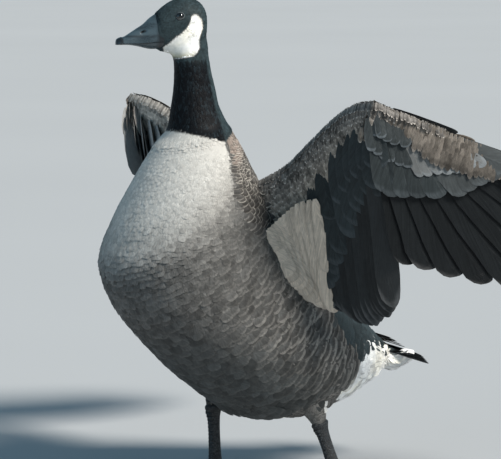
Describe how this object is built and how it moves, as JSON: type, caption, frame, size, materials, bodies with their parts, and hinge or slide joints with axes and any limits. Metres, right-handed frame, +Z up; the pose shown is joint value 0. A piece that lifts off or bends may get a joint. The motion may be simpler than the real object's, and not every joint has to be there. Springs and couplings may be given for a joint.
{
  "type": "canada goose",
  "caption": "Life-size still goose standing upright, long black neck, white cheek patch, both wings half raised, webbed feet flat on the floor.",
  "frame": {"origin": "middle of the bird's box, at the level of the soles", "axes": "+Z up, the bird faces -Y, its left wing is towards +X"},
  "size_m": [0.7834, 0.6308, 0.6562],
  "materials": {
    "body_plumage": "soft overlapping body feathers, grey-brown with pale tips",
    "black_plumage": "short dense black feathers with a slight cool sheen, white cheek patch",
    "vent_plumage": "soft white feathers",
    "wing_plumage": "brown covert feathers with pale edges",
    "flight_feathers": "dark slate flight feathers with a faint gloss",
    "tail_feathers": "black tail feathers",
    "bill": "smooth black horn with a soft sheen",
    "leg_skin": "dark grey scaled skin",
    "eye": "glossy dark brown eye"
  },
  "bodies": {
    "root": {"torso": "body_plumage", "neck": "black_plumage", "head": "black_plumage", "eye_left": "eye", "eye_right": "eye", "bill_upper": "bill", "bill_lower": "bill", "tail": "tail_feathers", "shank_left": "vent_plumage", "shank_right": "vent_plumage", "tarsus_left": "leg_skin", "tarsus_right": "leg_skin", "foot_left": "leg_skin", "foot_right": "leg_skin", "wing_left_arm": "wing_plumage", "wing_left_hand": "flight_feathers", "wing_right_arm": "wing_plumage", "wing_right_hand": "flight_feathers"}
  },
  "joints": []
}
